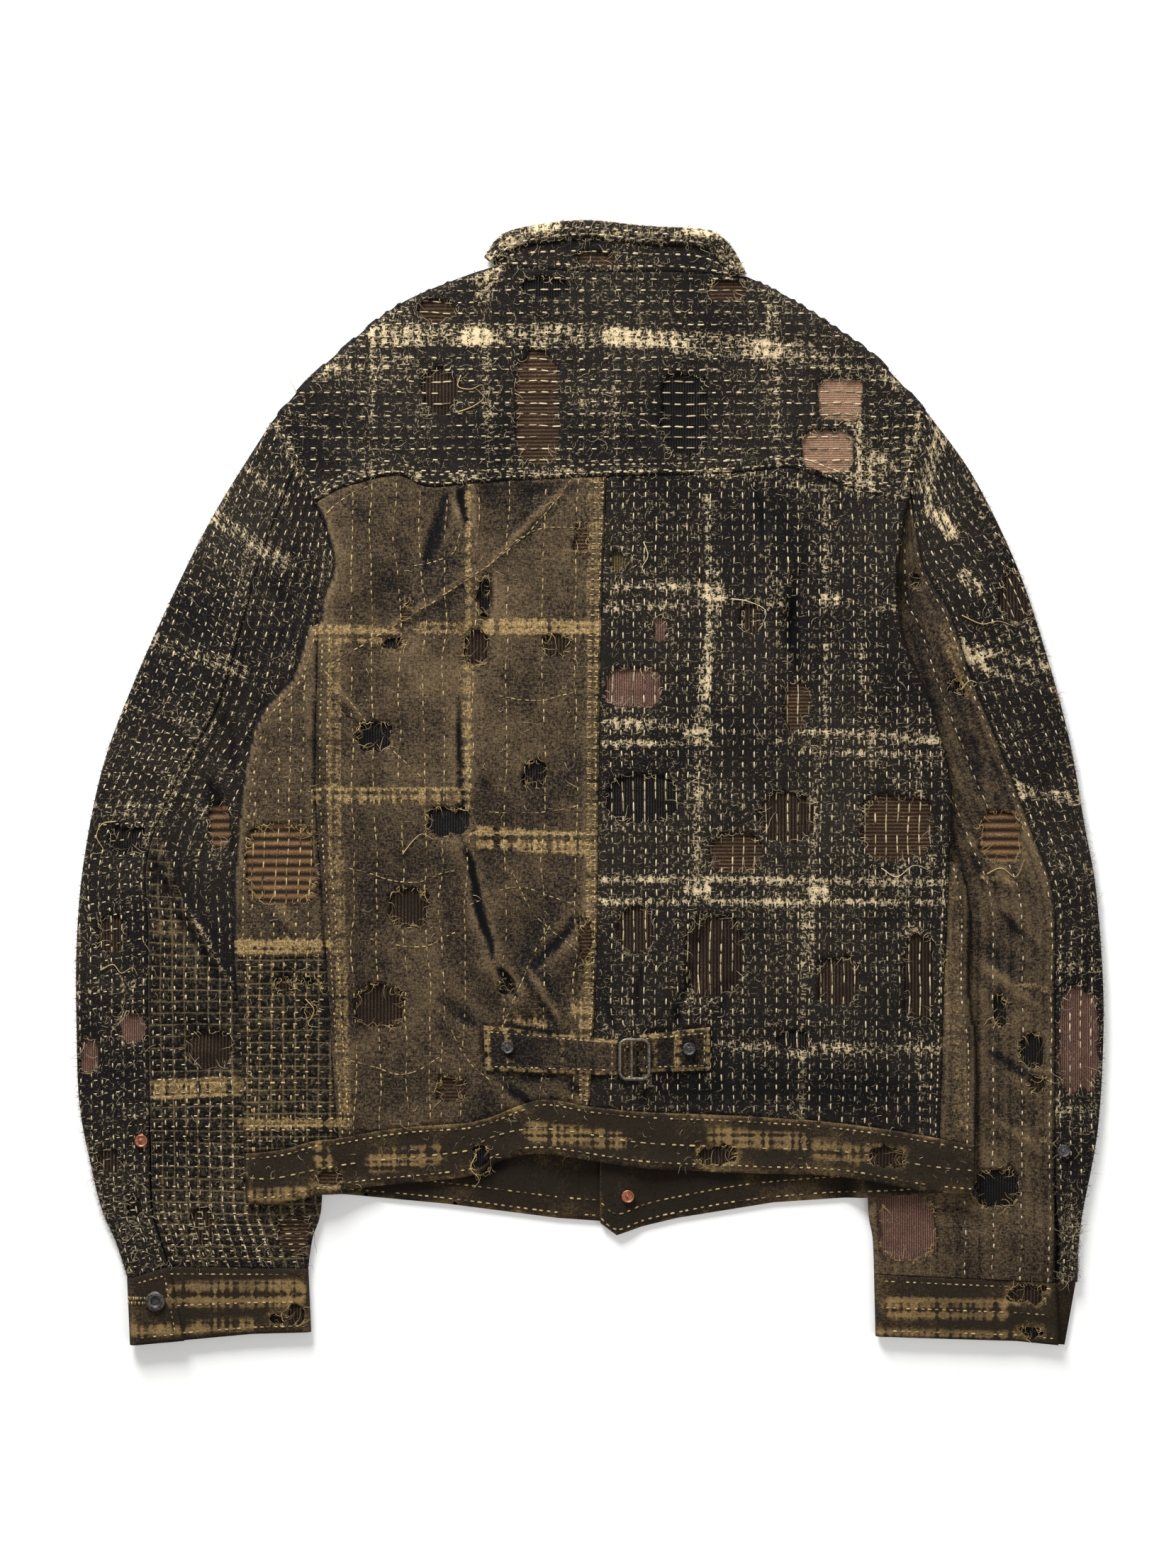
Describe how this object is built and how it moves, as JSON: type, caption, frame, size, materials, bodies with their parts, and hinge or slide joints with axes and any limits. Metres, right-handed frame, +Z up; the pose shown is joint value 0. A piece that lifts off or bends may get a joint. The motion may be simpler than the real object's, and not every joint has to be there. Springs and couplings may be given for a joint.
{
  "type": "patched boro jacket",
  "caption": "Short work jacket of patched, hand-stitched boro cloth, laid flat with its back up, with yoke, cinch strap, hem band, cuffs and turned collar.",
  "frame": {"origin": "middle of the jacket's footprint, on the surface that it lies on", "axes": "+Z up out of the surface, with the jacket's back facing +Z; +Y towards the collar; +X towards the wearer's right sleeve as laid"},
  "size_m": [0.7268, 0.7956, 0.0195],
  "materials": {
    "boro_check": "charcoal check cotton, napped and stitched",
    "olive_cotton": "faded olive-brown twill, ripped",
    "waffle_check": "small grid check, worn",
    "black_twill": "indigo-black twill, worn at the edges",
    "brown_corduroy": "brown ribbed cloth",
    "mauve_cotton": "faded mauve cotton",
    "gunmetal": "dark worn plating",
    "copper": "copper plating",
    "steel_wire": "dull wire"
  },
  "bodies": {
    "root": {"back_yoke": "boro_check", "back_left": "olive_cotton", "back_right": "boro_check", "side_left": "waffle_check", "side_right": "waffle_check", "hem_back": "black_twill", "front_left": "olive_cotton", "front_right": "boro_check", "hem_front_left": "black_twill", "hem_front_right": "black_twill", "collar_stand": "boro_check", "collar_fall": "boro_check", "sleeve_left_outer": "boro_check", "sleeve_left_inner": "waffle_check", "sleeve_right_outer": "boro_check", "sleeve_right_inner": "olive_cotton", "cuff_left": "black_twill", "cuff_right": "black_twill", "cinch_strap_left": "boro_check", "cinch_tail": "boro_check", "cinch_strap_right": "boro_check", "cinch_buckle": "steel_wire", "rivet_cinch_left": "gunmetal", "rivet_cinch_right": "gunmetal", "rivet_vent_left": "copper", "rivet_vent_right": "gunmetal", "rivet_front": "copper", "cuff_button": "gunmetal", "patch_back_yoke_1": "brown_corduroy", "patch_back_yoke_2": "mauve_cotton", "patch_back_yoke_3": "mauve_cotton", "patch_back_left_1": "brown_corduroy", "patch_back_left_2": "brown_corduroy", "patch_back_left_3": "brown_corduroy", "patch_back_left_4": "brown_corduroy", "patch_back_left_5": "brown_corduroy", "patch_back_left_6": "brown_corduroy", "patch_back_left_7": "mauve_cotton", "patch_side_left_1": "brown_corduroy", "patch_back_right_1": "brown_corduroy", "patch_back_right_2": "brown_corduroy", "patch_back_right_3": "brown_corduroy", "patch_back_right_4": "brown_corduroy", "patch_back_right_5": "brown_corduroy", "patch_hem_back_1": "brown_corduroy", "patch_sleeve_left_inner_1": "brown_corduroy", "patch_sleeve_left_outer_1": "mauve_cotton", "patch_sleeve_right_inner_1": "brown_corduroy", "patch_sleeve_right_inner_2": "brown_corduroy", "patch_sleeve_right_inner_3": "brown_corduroy"}
  },
  "joints": []
}
